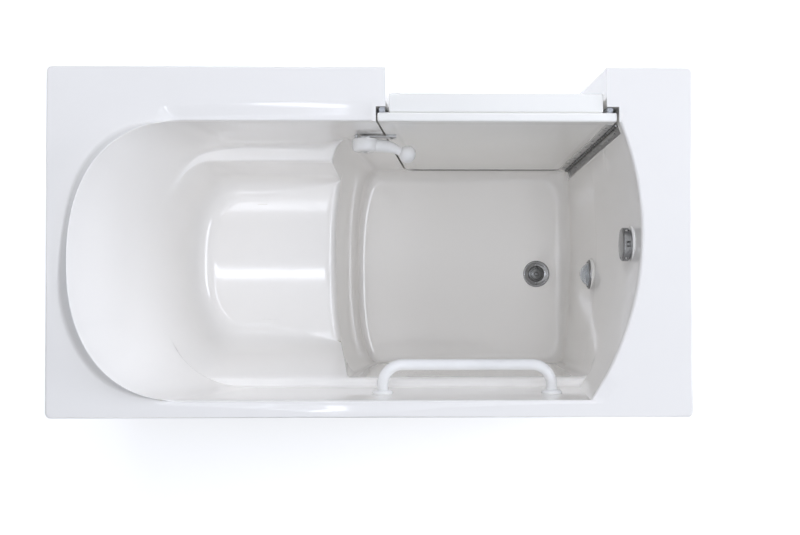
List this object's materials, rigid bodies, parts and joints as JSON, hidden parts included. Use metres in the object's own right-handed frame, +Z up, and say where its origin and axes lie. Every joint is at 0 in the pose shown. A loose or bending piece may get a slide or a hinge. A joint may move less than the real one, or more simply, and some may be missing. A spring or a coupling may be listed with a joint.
{
  "type": "walk-in bathtub",
  "caption": "Walk-in bathtub with an inward-opening hinged door, moulded seat, raised headrest, foot-well, grab bar, lever latch, drain and overflow on a steel frame.",
  "frame": {"origin": "on the floor under the middle of the tub (bottom centre of its bounding box)", "axes": "+Z up; +X towards the head end, the foot-well at -X; the door is in the -Y side, the wall side is +Y"},
  "size_m": [1.4, 0.76, 1.0007],
  "materials": {
    "acrylic_white": "glossy moulded acrylic",
    "door_white": "glossy moulded acrylic",
    "panel_white": "satin acrylic sheet",
    "foam_core": "rigid foam",
    "plywood": "sealed plywood",
    "frame_steel": "zinc-rich grey paint",
    "steel_bright": "brushed stainless steel",
    "hinge_steel": "brushed stainless steel",
    "rubber_black": "moulded rubber",
    "seal_grey": "silicone seal",
    "lever_white": "moulded plastic",
    "bar_white": "white powder coat",
    "chrome": "polished chrome plate",
    "pipe_white": "moulded waste pipe",
    "cable_black": "extruded sheath",
    "lens_clear": "clear dome lens",
    "housing_grey": "moulded plastic"
  },
  "bodies": {
    "tub": {"tub_shell": "acrylic_white", "floor_board": "plywood", "seat_board": "plywood", "frame_long_rails": "frame_steel", "frame_cross_rails": "frame_steel", "frame_posts": "frame_steel", "frame_top_rails": "frame_steel", "frame_top_cross_rails": "frame_steel", "seat_base_rails": "frame_steel", "seat_rails": "frame_steel", "seat_legs": "frame_steel", "levelling_feet": "housing_grey", "foot_lock_nuts": "steel_bright", "front_panel_head": "panel_white", "front_panel_foot": "panel_white", "threshold_panel": "panel_white", "end_panel_head": "panel_white", "end_panel_foot": "panel_white", "panel_screws": "steel_bright", "jamb_hinge_leaf": "hinge_steel", "hinge_pin": "steel_bright", "jamb_hinge_screws": "steel_bright", "keeper_stud": "steel_bright", "keeper_nut": "steel_bright", "grab_bar": "bar_white", "grab_bar_flanges": "bar_white", "grab_bar_plugs": "steel_bright", "grab_bar_bolts": "steel_bright", "drain_flange": "chrome", "drain_gasket": "rubber_black", "drain_nut": "pipe_white", "drain_shoe": "pipe_white", "waste_pipe": "pipe_white", "waste_tee": "pipe_white", "overflow_pipe": "pipe_white", "overflow_body": "pipe_white", "overflow_gasket": "rubber_black", "overflow_plate": "chrome", "stopper_cable": "cable_black", "light_lens": "lens_clear", "light_bezel": "chrome", "light_housing": "housing_grey", "light_nut": "housing_grey"},
    "door": {"door_outer_skin": "door_white", "door_core": "foam_core", "door_inner_panel": "door_white", "door_seal": "seal_grey", "door_hinge_leaf": "hinge_steel", "door_hinge_screws": "steel_bright", "latch_plate": "steel_bright", "latch_plate_screws": "steel_bright"},
    "lever": {"lever_spindle": "steel_bright", "latch_cam": "steel_bright", "latch_lever": "lever_white", "lever_knob": "lever_white", "lever_screw": "steel_bright"},
    "stopper": {"drain_stopper": "chrome"},
    "knob": {"overflow_knob": "chrome"}
  },
  "joints": [
    {"name": "door_swing", "type": "hinge", "parent": "tub", "child": "door", "pos_m": [-0.538, -0.258, 0.96], "axis": [0, -0.0384, 0.9993], "range_deg": [0, 80]},
    {"name": "lever_turn", "type": "hinge", "parent": "door", "child": "lever", "pos_m": [0.01316, -0.25032, 0.76015], "axis": [0, 0.9993, 0.0384], "range_deg": [0, 90]},
    {"name": "overflow_knob_turn", "type": "hinge", "parent": "tub", "child": "knob", "pos_m": [-0.58, 0.002, 0.86], "axis": [1, 0, 0], "range_deg": [0, 90]},
    {"name": "stopper_lift", "type": "slide", "parent": "tub", "child": "stopper", "axis": [0, 0, 1], "range_m": [0, 0.01]}
  ],
  "couplings": [
    {"joint": "stopper_lift", "follows": "overflow_knob_turn", "m_per_rad": 0.00636}
  ]
}
